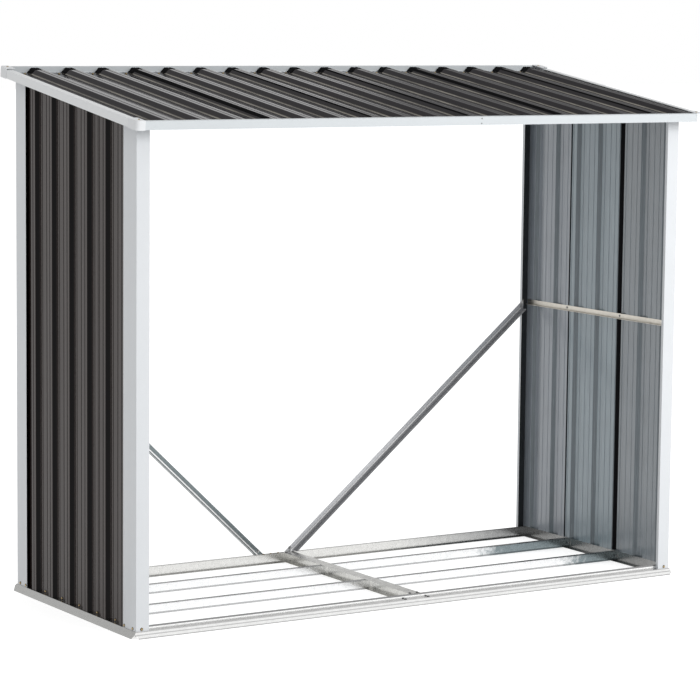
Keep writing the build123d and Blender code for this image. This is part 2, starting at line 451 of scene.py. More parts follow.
@dataclass(frozen=True, kw_only=True)
class PostPaint(SatinPaint):
    """Satin white paint on a folded post, with a backing coat on its inner faces."""

    backing: Colour
    side: Side
    end: End
    lip_x: float = 1.13

    def cover(self, graph: Graph, place: Socket, paint: Socket) -> Socket:
        """Colour of each face: the paint outside and the backing inside.

        Args:
            graph: Graph of the material.
            place: Place on the object.
            paint: Colour of the outer faces.

        Returns:
            The colour.
        """
        facing = graph.axes(graph.add("NewGeometry").outputs["True Normal"])
        x = graph.axes(place)[0]
        toward = [
            graph.math("MULTIPLY", facing[axis], -sign)
            for axis, sign in enumerate((self.side.value, self.end.value))
        ]
        inward_x, inward_y = [graph.math("GREATER_THAN", value, 0.5) for value in toward]
        past_lip = graph.math("GREATER_THAN", graph.math("ABSOLUTE", x), self.lip_x)
        inside = graph.math("MAXIMUM", inward_y, graph.math("MULTIPLY", inward_x, past_lip))
        return graph.blend(inside, paint, self.backing)


@dataclass(frozen=True)
class MouldedPlastic:
    """Fine-textured white plastic of the roof caps."""

    name: str
    colour: Colour
    roughness: float = 0.46

    def material(self) -> bpy.types.Material:
        """Build the material.

        Returns:
            The material.
        """
        made, graph, shader = surface(self.name)
        place = graph.place()
        mottle = graph.grain(place, 60, detail=4)
        graph.fill(shader, {
            "Base Color": graph.blend(mottle, toned(self.colour, 0.93), self.colour),
            "Roughness": graph.spread(mottle, self.roughness - 0.06, self.roughness + 0.1),
            "Normal": graph.relief(graph.grain(place, 1100, detail=2), 0.00006),
        })
        return made


@dataclass(frozen=True)
class Galvanised:
    """Hot-dip zinc with feathery spangles.

    An edge band is (start, end, shade), in mm above the ground: a painted shade line. A fold is
    the X and Z of the direction across a brace and the fold's place along it; a painted
    highlight runs along the fold and painted shade lies below it. Tops and sides get
    painted shade too.
    """

    name: str
    colour: Colour
    run: Run
    top_shade: float = 0.5
    side_shade: float = 0.5
    spangle: float = 95.0
    feather: float = 0.016
    contrast: float = 0.03
    roughness: float = 0.24
    tilt: float = 0.003
    edges: tuple[tuple[float, float, float], ...] = ()
    edge_blur: float = 0.0008
    dull: Colour | None = None
    dull_from: float = 0.0
    dull_to: float = 1.0
    dull_lean: float = 0.56
    metal: float = 1.0
    fleck: float = 1.0
    fold: tuple[float, float, float] | None = None
    fold_colour: Colour = (0.98, 0.98, 0.98)
    lip_shade: float = 0.62

    def material(self) -> bpy.types.Material:
        """Build the material.

        Returns:
            The material.
        """
        made, graph, shader = surface(self.name)
        place = graph.place()
        ripple = graph.add("TexNoise")
        graph.fill(ripple, {"Vector": place, "Scale": 160, "Detail": 3})
        push = graph.scaled(
            graph.vector("SUBTRACT", ripple.outputs["Color"], MID_TONE), self.feather
        )
        feathered = graph.vector("ADD", place, push)
        cell = graph.add("TexVoronoi")
        graph.fill(cell, {"Vector": feathered, "Scale": self.spangle})
        parts = graph.add("SeparateColor")
        graph.feed(parts.inputs[0], cell.outputs["Color"])
        needles = graph.grain(feathered, 900, (1, 0.2, 1), 2)
        geometry = graph.add("NewGeometry")
        where = graph.axes(place)
        value = graph.math(
            "ADD", graph.math("MULTIPLY", parts.outputs[0], 0.75),
            graph.math("MULTIPLY", needles, 0.25)
        )
        colour = graph.blend(
            value, toned(self.colour, 1 - self.contrast),
            toned(self.colour, 1 + self.contrast, 0.98)
        )
        # painted reflection: the right end is darkened as the dark right wall reflected in the zinc
        if self.dull is not None:
            flecks = graph.math(
                "MULTIPLY", graph.math("ADD", parts.outputs[2], needles), self.fleck / 2
            )
            colour = graph.blend(self.dull_zone(graph, where, flecks), colour, self.dull)
        shade = self.shade(graph, geometry.outputs["True Normal"], where[2])
        # painted fold: a painted highlight along the line and painted shade below it
        if self.fold is not None:
            across = graph.along(place, (self.fold[0], 0.0, self.fold[1]))
            line = graph.band(across, self.fold[2], (0.002, 0.0036))
            colour = graph.blend(line, colour, self.fold_colour)
            beside = graph.math("SUBTRACT", across, self.fold[2])
            below = graph.spread(beside, 1.0, self.lip_shade, -0.006, -0.003)
            shade = graph.math("MAXIMUM", graph.math("MULTIPLY", shade, below), line)
        lean = graph.scaled(graph.vector("SUBTRACT", cell.outputs["Color"], MID_TONE), self.tilt)
        tilted = graph.vector("NORMALIZE", graph.vector("ADD", geometry.outputs["Normal"], lean))
        lines = graph.relief(graph.grain(place, 240, self.run.value, 2), 0.00003, tilted)
        graph.fill(shader, {
            "Base Color": graph.scaled(colour, shade),
            "Metallic": self.metal,
            "Roughness": graph.spread(
                parts.outputs[1], self.roughness - 0.04, self.roughness + 0.06
            ),
            "Normal": graph.relief(graph.grain(place, 7, self.run.value, 1), 0.0008, lines),
        })
        return made

    def shade(self, graph: Graph, normal: Socket, height: Socket) -> Socket:
        """Painted shade: how bright the zinc is painted on tops, on sides and in the edge bands.

        Args:
            graph: Graph of the material.
            normal: Normal of the face.
            height: Height above the ground.

        Returns:
            The factor on the colour.
        """
        facing = graph.axes(normal)
        # painted shade: upward and sideways faces and the edge bands are painted darker
        upward = graph.spread(facing[2], 1.0, self.top_shade, 0.9, 0.97)
        sideways = graph.spread(graph.math("ABSOLUTE", facing[0]), 1.0, self.side_shade, 0.9, 0.97)
        shade = graph.math("MULTIPLY", upward, sideways)
        for start, end, level in self.edges:
            middle, half = (start + end) / 2 * MM, (end - start) / 2 * MM
            band = graph.band(height, middle, (half, half + self.edge_blur), level, 1.0)
            shade = graph.math("MULTIPLY", shade, band)
        return shade

    def dull_zone(self, graph: Graph, where: Sequence[Socket], flecks: Socket) -> Socket:
        """Mask of the painted wall reflection at the right end of a strip, with a flecked border.

        Args:
            graph: Graph of the material.
            where: X, Y and Z of the place.
            flecks: Noise that breaks up the border.

        Returns:
            The mask.
        """
        along = graph.math("MULTIPLY_ADD", where[1], self.dull_lean, where[0])
        zone = graph.spread(along, 0.0, 1.0 + self.fleck, self.dull_from, self.dull_to)
        return graph.spread(graph.math("SUBTRACT", zone, flecks), 0.0, 1.0)


@dataclass(frozen=True)
class Plating:
    """Yellow or grey plating of small hardware, a little uneven and dulled."""

    name: str
    colour: Colour
    worn: Colour
    roughness: float = 0.3

    def material(self) -> bpy.types.Material:
        """Build the material.

        Returns:
            The material.
        """
        made, graph, shader = surface(self.name)
        place = graph.place()
        patch = graph.grain(place, 420, detail=4)
        graph.fill(shader, {
            "Base Color": graph.blend(
                graph.spread(patch, 0, 1, 0.35, 0.65), self.colour, self.worn
            ),
            "Metallic": 1.0,
            "Roughness": graph.spread(patch, self.roughness, self.roughness + 0.25),
            "Normal": graph.relief(graph.grain(place, 2600), 0.00003),
        })
        return made


@dataclass(frozen=True)
class Rubber:
    """Dark rubber of washers and rib-end covers, with a dusty grain; also painted lap shadows."""

    name: str
    colour: Colour
    roughness: float = 0.8

    def material(self) -> bpy.types.Material:
        """Build the material.

        Returns:
            The material.
        """
        made, graph, shader = surface(self.name)
        place = graph.place()
        dust = graph.grain(place, 700, detail=3)
        graph.fill(shader, {
            "Base Color": graph.blend(dust, toned(self.colour, 0.7), toned(self.colour, 1.5)),
            "Roughness": graph.spread(dust, self.roughness - 0.1, self.roughness + 0.1),
            "Specular IOR Level": 0.06,
            "Normal": graph.relief(dust, 0.0001),
        })
        return made


class Finishes:
    """Every finish of the store, built once."""

    dark = srgb(30, 21, 19)
    dark_flank = srgb(15, 13, 14)
    dark_roof = srgb(25, 21, 26)
    wall_sheen = (1.0, 0.87, 0.82)
    roof_sheen = (1.0, 0.96, 1.0)
    backing = srgb(134, 139, 143)
    white = srgb(231, 234, 237)
    # one white paint: the side trim is painted lighter and the front and back fascia darker
    trim_white = srgb(245, 247, 248)
    fascia_white = srgb(219, 224, 227)
    # backing coat inside the posts: the back posts' near-black is painted shade in their inner
    # corners
    post_inside = {End.FRONT: srgb(196, 198, 200), End.BACK: srgb(24, 29, 33)}
    # one galvanised zinc, made lighter or darker per member as painted light and shade
    zinc = (0.93, 0.935, 0.94)
    zinc_front = (0.9, 0.9, 0.895)
    zinc_back = (0.74, 0.735, 0.715)
    zinc_across = (0.52, 0.52, 0.51)
    # darker tones painted as the dark right wall reflected on the right ends
    zinc_dull = (0.25, 0.295, 0.31)
    zinc_dull_back = (0.27, 0.275, 0.28)
    zinc_member = (0.62, 0.615, 0.59)
    zinc_mid_rail = (0.62, 0.59, 0.53)
    # brace tones: one zinc, the left painted darker and the right lighter, as painted shade and
    # light
    zinc_brace = {Side.LEFT: (0.2, 0.235, 0.245), Side.RIGHT: (0.6, 0.605, 0.625)}

    def __init__(self) -> None:
        """Build the shared materials."""
        self.wall_outside = CoilCoat(
            "dark_coat_wall", self.dark, Run.ALONG_Z, sheen=self.wall_sheen, shine=0.3
        ).material()
        # painted shade: darker coats for the rib flanks, outside and inside
        self.wall_flank = CoilCoat(
            "dark_coat_flank", self.dark_flank, Run.ALONG_Z, 0.3, shine=0.1
        ).material()
        backs = {
            "front": srgb(134, 142, 148), "middle": srgb(143, 158, 166), "back": srgb(151, 158, 166)
        }
        self.wall_inside = {
            place: CoilCoat(
                f"backing_coat_{place}", tone, Run.ALONG_Z, 0.22, shine=0.8, clear_coat=0.4
            ).material()
            for place, tone in backs.items()
        }
        self.groove_inside = CoilCoat(
            "backing_coat_groove", srgb(112, 122, 128), Run.ALONG_Z, 0.26, shine=0.6
        ).material()
        # the roof coat carries a painted highlight line at the foot of each rib
        self.roof_outside = CoilCoat(
            "dark_coat_roof", self.dark_roof, Run.ALONG_Y, 0.09, sheen=self.roof_sheen, shine=0.6,
            line_pitch=140 * MM, line_at=74 * MM
        ).material()
        self.roof_inside = CoilCoat(
            "backing_coat_roof", self.backing, Run.ALONG_Y, 0.22, shine=0.8, clear_coat=0.4
        ).material()
        # trims: lit and shaded copies of one white paint
        self.trim_along = SatinPaint("white_paint_along", self.fascia_white, Run.ALONG_X).material()
        self.trim_across = SatinPaint("white_paint_across", self.trim_white, Run.ALONG_Y).material()
        self.cap = MouldedPlastic("white_plastic", srgb(243, 245, 247)).material()
        # edge bands: painted shade lines along the foot, the top edge and the folds of each rail
        edges = {
            "joist": ((0.0, 9.0, 0.5), (36.4, 39.0, 0.7)),
            "front": ((0.0, 3.0, 0.56), (12.0, 14.6, 0.64), (22.0, 23.9, 0.62), (34.0, 41.0, 0.26)),
            "back": ((0.0, 3.0, 0.7), (36.6, 41.0, 0.6))
        }
        self.steel_along = Galvanised(
            "zinc_joist", self.zinc, Run.ALONG_X, 0.25, edges=edges["joist"], dull=self.zinc_dull,
            dull_from=0.75, dull_to=0.98, tilt=0.008
        ).material()
        self.steel_front = Galvanised(
            "zinc_front_rail", self.zinc_front, Run.ALONG_X, 1.0, edges=edges["front"]
        ).material()
        self.steel_back = Galvanised(
            "zinc_back_rail", self.zinc_back, Run.ALONG_X, 1.0, edges=edges["back"],
            dull=self.zinc_dull_back, dull_from=0.75, dull_to=1.5, fleck=0.12, contrast=0.015
        ).material()
        self.steel_across = Galvanised("zinc_across", self.zinc_across, Run.ALONG_Y, 1.0).material()
        self.steel_member = Galvanised(
            "zinc_member", self.zinc_member, Run.ALONG_Y, 0.9, 1.0, edges=((36.5, 37.9, 0.3),)
        ).material()
        self.steel_rail = Galvanised(
            "zinc_mid_rail", self.zinc_mid_rail, Run.ALONG_Y, 1.0, 1.0, roughness=0.4
        ).material()
        self.screw = Plating("yellow_plating", (0.66, 0.5, 0.26), (0.42, 0.33, 0.2)).material()
        self.bolt = Plating("grey_plating", (0.5, 0.5, 0.5), (0.34, 0.34, 0.34), 0.35).material()
        self.rubber = Rubber("black_rubber", (0.007, 0.007, 0.008)).material()

    def brace(self, side: Side, fold: tuple[float, float, float]) -> bpy.types.Material:
        """Zinc of one back brace: painted highlight on its fold, painted shade on its lip."""
        return Galvanised(
            f"zinc_brace_{side.word}", self.zinc_brace[side], Run.ALONG_X, 1.0, 1.0, fold=fold,
            metal=0.4
        ).material()

    def post(self, side: Side, end: End) -> bpy.types.Material:
        """Paint of one corner post; its backing coat is painted shade on the back posts."""
        name = f"post_paint_{end.word}_{side.word}"
        return PostPaint(
            name, self.white, Run.ALONG_Z, 0.4, 14.0, 11.0, backing=self.post_inside[end],
            side=side, end=end
        ).material()


def finish_node(node: str, material: bpy.types.Material) -> None:
    """Give a CAD node one of the finishes."""
    for slot in bpy.data.objects[node].material_slots:
        slot.material = material


def nodes_named(*starts: str) -> list[str]:
    """CAD nodes whose names have one of the starts, in order."""
    return sorted(name for name in bpy.data.objects.keys() if name.startswith(starts))


def piece_from(
    name: str, mesh: bmesh.types.BMesh, materials: Sequence[bpy.types.Material],
    sharp: float | None = None
) -> bpy.types.Object:
    """Turn a finished bmesh into a piece that rides on the store.

    Args:
        name: Name of the piece.
        mesh: Its geometry, freed here.
        materials: Finishes, in the order of the face material numbers.
        sharp: Angle in degrees above which an edge stays sharp on a smooth piece.

    Returns:
        The piece.
    """
    if sharp is not None:
        for face in mesh.faces:
            face.smooth = True
        for edge in mesh.edges:
            edge.smooth = edge.calc_face_angle(pi) < radians(sharp)
    data = bpy.data.meshes.new(name)
    mesh.to_mesh(data)
    mesh.free()
    for material in materials:
        data.materials.append(material)
    piece = bpy.data.objects.new(name, data)
    bpy.context.scene.collection.objects.link(piece)
    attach(piece, "root")
    LOG.info("%s: %d faces", name, len(data.polygons))
    return piece


@dataclass(frozen=True)
class RibProfile:
    """Rolled profile: ribs with rounded bends, and small swages pressed in between."""

    pitch: float
    height: float
    crown: float
    run: float
    bend: float = 1.6 * MM
    swage_width: float = 6.0 * MM
    swage_depth: float = 1.1 * MM
    pan_swage: float = 17.0 * MM

    def swage(self, centre: float, level: float, depth: float) -> Line:
        """Points of one swage across its centre."""
        half = self.swage_width / 2
        return [
            (centre + share * half, level + depth * (1 + cos(pi * share)) / 2)
            for share in (-1, -0.6, -0.3, 0, 0.3, 0.6, 1)
        ]

    def rounded(
        self, before: tuple[float, float], corner: tuple[float, float], after: tuple[float, float]
    ) -> Line:
        """Points of one rounded bend.

        Args:
            before: Corner before the bend.
            corner: Corner that is rounded.
            after: Corner after it.

        Returns:
            Points along the bend.
        """
        start = Vector(before) - Vector(corner)
        end = Vector(after) - Vector(corner)
        a = Vector(corner) + start.normalized() * self.bend
        b = Vector(corner) + end.normalized() * self.bend
        points = [
            a * (1 - t) ** 2 + Vector(corner) * 2 * t * (1 - t) + b * t**2
            for t in (0, 0.33, 0.67, 1)
        ]
        return [(p.x, p.y) for p in points]

    def period(self, centre: float) -> Line:
        """Points of one rib and the half pans beside it.

        Args:
            centre: Centre of the rib.

        Returns:
            Points across the period.
        """
        half, foot, end = self.crown / 2, self.crown / 2 + self.run, self.pitch / 2
        swage_at = end - self.pan_swage
        line: Line = self.swage(centre - swage_at, 0.0, self.swage_depth)
        for sign in (-1, 1):
            corners = [(-end, 0.0), (-foot, 0.0), (-half, self.height), (0.0, self.height)]
            if sign > 0:
                line += self.swage(centre, self.height, -self.swage_depth)
                corners = [(-x, level) for x, level in reversed(corners)]
            spots = [(centre + x, level) for x, level in corners]
            line += self.rounded(*spots[0:3]) + self.rounded(*spots[1:4])
        return line + self.swage(centre + swage_at, 0.0, self.swage_depth)

    def line(self, low: float, high: float, phase: float) -> Line:
        """Lower line of a sheet.

        Args:
            low: Where the sheet starts across its ribs.
            high: Where it ends.
            phase: Centre of one of its ribs.

        Returns:
            Points (across, level) from low to high.
        """
        first = int((low - phase) // self.pitch) - 1
        last = int((high - phase) // self.pitch) + 2
        whole = [
            point
            for number in range(first, last + 1)
            for point in self.period(phase + number * self.pitch)
        ]

        def level_at(at: float) -> float:
            """Level of the whole line.

            Args:
                at: Place across it.

            Returns:
                The level, or 0 beyond the line.
            """
            for (x0, y0), (x1, y1) in zip(whole, whole[1:]):
                if x0 <= at <= x1 and x1 > x0:
                    return y0 + (y1 - y0) * (at - x0) / (x1 - x0)
            return 0.0

        inside = [point for point in whole if low + 0.0002 < point[0] < high - 0.0002]
        return [(low, level_at(low)), *inside, (high, level_at(high))]


def rolled_sheet(
    mesh: bmesh.types.BMesh, line: Line, thickness: float, start: Callable[[float, float], Vector],
    stop: Callable[[float, float], Vector], flanks: bool = False
) -> None:
    """Add a rolled sheet to a mesh: backing faces are material 1, all others 0.

    A flank that rises across the sheet is material 2 outside, and one that falls is 3
    inside; these two coats are darker, as painted shade on the flanks.

    Args:
        mesh: Mesh to add to.
        line: Lower line of the sheet across its ribs.
        thickness: Thickness, along the levels of the line.
        start: Gives the place of (across, level) at the sheet's start.
        stop: Gives the place of (across, level) at the sheet's end.
        flanks: Whether the flanks get darker coats of their own, as painted shade.
    """
    rings = []
    rise = (start(0.0, 1.0) - start(0.0, 0.0)).normalized()
    for at, level in line:
        spots = (
            start(at, level), stop(at, level), stop(at, level + thickness),
            start(at, level + thickness)
        )
        rings.append([mesh.verts.new(spot) for spot in spots])
    for first, second in zip(rings, rings[1:]):
        for place in range(4):
            following = (place + 1) % 4
            face = mesh.faces.new(
                (first[place], first[following], second[following], second[place])
            )
            tilt = (second[0].co - first[0].co).normalized().dot(rise) if flanks else 0.0
            if place == 0:
                face.material_index = 3 if tilt < -0.4 else 1
            else:
                face.material_index = 2 if place == 2 and tilt > 0.4 else 0
    mesh.faces.new(rings[0])
    mesh.faces.new(list(reversed(rings[-1])))
    bmesh.ops.recalc_face_normals(mesh, faces=mesh.faces)


def slab(
    mesh: bmesh.types.BMesh, near: Sequence[Vector], far: Sequence[Vector], number: int = 0
) -> None:
    """Add a closed prism between two outlines with the same number of points.

    Args:
        mesh: Mesh to add to.
        near: Points of the first outline.
        far: Points of the second.
        number: Material number of its faces.
    """
    a = [mesh.verts.new(spot) for spot in near]
    b = [mesh.verts.new(spot) for spot in far]
    made = [mesh.faces.new(a), mesh.faces.new(list(reversed(b)))]
    for place in range(len(a)):
        following = (place + 1) % len(a)
        made.append(mesh.faces.new((a[following], a[place], b[place], b[following])))
    for face in made:
        face.material_index = number
    bmesh.ops.recalc_face_normals(mesh, faces=made)


@dataclass(frozen=True)
class RoofDeck:
    """Underside of the roof sheets, as a leaning plane."""

    pitch: float = radians(8.25)
    front_y: float = -569 * MM + FRAME_SHIFT
    front_z: float = 1783.4 * MM
    run: float = 1097.35 * MM

    def spot(self, x: float, run: float, level: float) -> Vector:
        """Place at x, a distance up the slope and a level above the plane."""
        y = self.front_y + run * cos(self.pitch) - level * sin(self.pitch)
        return Vector((x, y, self.front_z + run * sin(self.pitch) + level * cos(self.pitch)))

    def at_run(self, run: float, lift: float = 0.0) -> Callable[[float, float], Vector]:
        """Places across the roof at one distance up the slope."""
        return lambda x, level: self.spot(x, run, level + lift)

    def normal(self) -> Vector:
        """Direction square to the roof, upward."""
        return Vector((0, -sin(self.pitch), cos(self.pitch)))


def standing(at: Vector, normal: Vector, turn: float) -> Matrix:
    """Frame with its Z along a normal, turned about it."""
    upright = normal.to_track_quat("Z", "Y").to_matrix().to_4x4()
    return Matrix.Translation(at) @ upright @ Matrix.Rotation(turn, 4, "Z")


@dataclass(frozen=True)
class ScrewHead:
    """Pan head self-tapping screw with a cross recess, over a flat washer."""

    head_radius: float = 4.3 * MM
    head_height: float = 2.7 * MM
    washer_radius: float = 5.6 * MM
    washer_height: float = 0.9 * MM
    recess_reach: float = 2.5 * MM
    recess_half_width: float = 0.55 * MM
    recess_depth: float = 1.3 * MM
    segments: int = 24

    def rings(self) -> list[tuple[float, float]]:
        """Rings of the head, from its rim to its middle.

        Returns:
            Radius and height of each ring.
        """
        r, h, base = self.head_radius, self.head_height, self.washer_height
        shares = (
            (1, 0), (0.98, 0.45), (0.88, 0.72), (0.7, 0.9), (0.56, 0.96), (0.5, 0.97), (0.3, 1),
            (0.14, 1)
        )
        return [(r * out, base + h * up) for out, up in shares]

    def add(
        self, mesh: bmesh.types.BMesh, at: Vector, normal: Vector, turn: float, scale: float = 1.0,
        number: int = 0
    ) -> None:
        """Add one screw to a mesh; its washer takes the next material.

        Args:
            mesh: Mesh to add to.
            at: Foot of the screw on the surface.
            normal: Direction that the head points in.
            turn: How far the cross is turned, in radians.
            scale: Size of this screw.
            number: Material number of the head.
        """
        frame = standing(at, normal, turn) @ Matrix.Scale(scale, 4)
        steps = [2 * pi * s / self.segments for s in range(self.segments)]

        def ring(radius: float, height: float) -> list[bmesh.types.BMVert]:
            """One ring of vertices, pushed down where the cross recess runs.

            Args:
                radius: Radius of the ring.
                height: Its height above the foot.

            Returns:
                Its vertices, in order.
            """
            made = []
            for angle in steps:
                x, y = radius * cos(angle), radius * sin(angle)
                cut = radius < self.recess_reach and min(abs(x), abs(y)) < self.recess_half_width
                drop = self.recess_depth if cut and height > self.washer_height + 1e-6 else 0.0
                made.append(mesh.verts.new(frame @ Vector((x, y, height - drop))))
            return made

        def skin(loops: list[list[bmesh.types.BMVert]], material: int) -> None:
            """Faces between rings, and the last ring closed.

            Args:
                loops: Rings of vertices, from the foot up.
                material: Material number of the faces.
            """
            for low, high in zip(loops, loops[1:]):
                for s in range(self.segments):
                    n = (s + 1) % self.segments
                    mesh.faces.new((low[s], low[n], high[n], high[s])).material_index = material
            mesh.faces.new(loops[-1]).material_index = material

        skin([ring(radius, height) for radius, height in self.rings()], number)
        w, h = self.washer_radius, self.washer_height
        skin(
            [ring(w, 0.0), ring(w, h * 0.7), ring(w * 0.93, h), ring(self.head_radius * 0.9, h)],
            number + 1
        )


@dataclass(frozen=True)
class HexBolt:
    """Hexagon bolt head with a chamfered top and a round washer."""

    flats: float = 8.0 * MM
    height: float = 3.6 * MM
    washer_radius: float = 7.0 * MM
    washer_height: float = 1.1 * MM

    def add(
        self, mesh: bmesh.types.BMesh, at: Vector, normal: Vector, turn: float, number: int = 0
    ) -> None:
        """Add one bolt head to a mesh, with its washer in the same finish.

        Args:
            mesh: Mesh to add to.
            at: Foot of the bolt on the surface.
            normal: Direction that the head points in.
            turn: How far the head is turned, in radians.
            number: Material number of the head and washer.
        """
        frame = standing(at, normal, turn)

        def ring(radius: float, height: float, count: int) -> list[Vector]:
            """Points of a regular outline."""
            turns = [2 * pi * s / count for s in range(count)]
            return [frame @ Vector((radius * cos(t), radius * sin(t), height)) for t in turns]

        corner = self.flats / 2 / cos(pi / 6)
        base, top = self.washer_height, self.washer_height + self.height
        slab(
            mesh, ring(self.washer_radius, 0, 24), ring(self.washer_radius * 0.95, base, 24), number
        )
        slab(mesh, ring(corner, base, 6), ring(corner, top - self.height * 0.2, 6), number)
        slab(mesh, ring(corner, top - self.height * 0.2, 6), ring(corner * 0.84, top, 6), number)


class Fasteners:
    """Collects the screws and bolts of one place into one piece."""

    def __init__(self, finishes: Finishes) -> None:
        """Start with the shared hardware finishes.

        Args:
            finishes: The store's finishes.
        """
        self.finishes = finishes
        self.screw = ScrewHead()
        self.bolt = HexBolt()

    def screws(
        self, name: str, spots: Iterable[tuple[Vector, Vector]], slot: Slot, scale: float = 1.0,
        grey: bool = False
    ) -> bpy.types.Object:
        """Make one piece of screws.

        Args:
            name: Name of the piece.
            spots: Foot and direction of each screw.
            slot: Slot of the record for the piece; not used.
            scale: Size of the screws.
            grey: Grey heads, as on the darker screws.

        Returns:
            The piece.
        """
        mesh = bmesh.new()
        for count, (at, normal) in enumerate(spots):
            self.screw.add(mesh, at, normal, 0.35 + 1.1 * count, scale)
        head = self.finishes.bolt if grey else self.finishes.screw
        return piece_from(name, mesh, [head, self.finishes.rubber], 34)

    def bolts(
        self, name: str, spots: Iterable[tuple[Vector, Vector]], slot: Slot
    ) -> bpy.types.Object:
        """Make one piece of hexagon bolts.

        Args:
            name: Name of the piece.
            spots: Foot and direction of each bolt.
            slot: Slot of the record for the piece; not used.

        Returns:
            The piece.
        """
        mesh = bmesh.new()
        for count, (at, normal) in enumerate(spots):
            self.bolt.add(mesh, at, normal, 0.2 + 0.7 * count)
        return piece_from(name, mesh, [self.finishes.bolt])


@dataclass
class FloorFrame:
    """Galvanised base rails, cross member and joists, with their screws and tabs."""

    finishes: Finishes
    fasteners: Fasteners
    ledge_z: float = 24.0 * MM
    top_z: float = 40.0 * MM
    joint_screw_x: float = 50.0 * MM
    member_screw_x: float = 16.0 * MM
    tab_reach: float = 17.0 * MM
    tab_height: float = 27.0 * MM
    tab_thickness: float = 1.2 * MM

    def dress(self) -> None:
        """Give the rails their finish and add the small parts."""
        for node in nodes_named("base_rail", "cross_member", "floor_joist"):
            finish_node(node, self.finish_of(node))
        self.joist_tabs()
        self.rail_screws()

    def finish_of(self, node: str) -> bpy.types.Material:
        """Zinc tone of one rail, member or joist; the tones are painted light and shade.

        Args:
            node: Name of its CAD node.

        Returns:
            Its finish.
        """
        finishes = self.finishes
        tones = {
            "base_rail_front": finishes.steel_front, "base_rail_back": finishes.steel_back,
            "floor_joist": finishes.steel_along, "cross_member": finishes.steel_member
        }
        return next(
            (tone for start, tone in tones.items() if node.startswith(start)), finishes.steel_across
        )

    def joist_tabs(self) -> None:
        """Bent tab with a screw at the outer end of each joist."""
        spots = []
        for side in Side:
            for place in ("front", "back"):
                low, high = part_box(f"floor_joist_{place}_{side.word}")
                x = side.outer(low, high)
                inner = x - side.value * self.tab_thickness
                z = low.z + 4 * MM
                outline = [
                    (0.0, z), (-self.tab_reach, z + 5 * MM),
                    (-self.tab_reach, z + self.tab_height - 3 * MM), (0.0, z + self.tab_height)
                ]
                mesh = bmesh.new()
                slab(
                    mesh, [Vector((inner, low.y + dy, h)) for dy, h in outline],
                    [Vector((x, low.y + dy, h)) for dy, h in outline]
                )
                piece_from(
                    f"joist_tab_{place}_{side.word}", mesh, [self.finishes.steel_across]
                )
                middle = Vector((inner, low.y - self.tab_reach / 2, z + self.tab_height / 2))
                spots.append((middle, Vector((-side.value, 0, 0))))
        self.fasteners.screws("joist_tab_screws", spots, Slot.STEEL, 0.85, True)

    def rail_screws(self) -> None:
        """Screws that join the rail halves to each other and to the cross member."""
        low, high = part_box("base_rail_front_left")
        rail_low, rail_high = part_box("base_rail_back_left")
        up = Vector((0, 0, 1))
        ledge, member = [], []
        for side in Side:
            x = side.value * self.joint_screw_x
            ledge.append((Vector((x, low.y + 24 * MM, self.ledge_z)), up))
            ledge.append((Vector((x, rail_high.y - 24 * MM, self.ledge_z)), up))
            x = side.value * self.member_screw_x
            member.append((Vector((x, high.y - 3 * MM, self.top_z - 0.8 * MM)), up))
            member.append((Vector((x, rail_low.y + 3 * MM, self.top_z - 0.8 * MM)), up))
        self.fasteners.screws("rail_joint_screws", ledge, Slot.STEEL, 1.0, True)
        self.fasteners.screws("cross_member_screws", member, Slot.STEEL, 0.95, True)


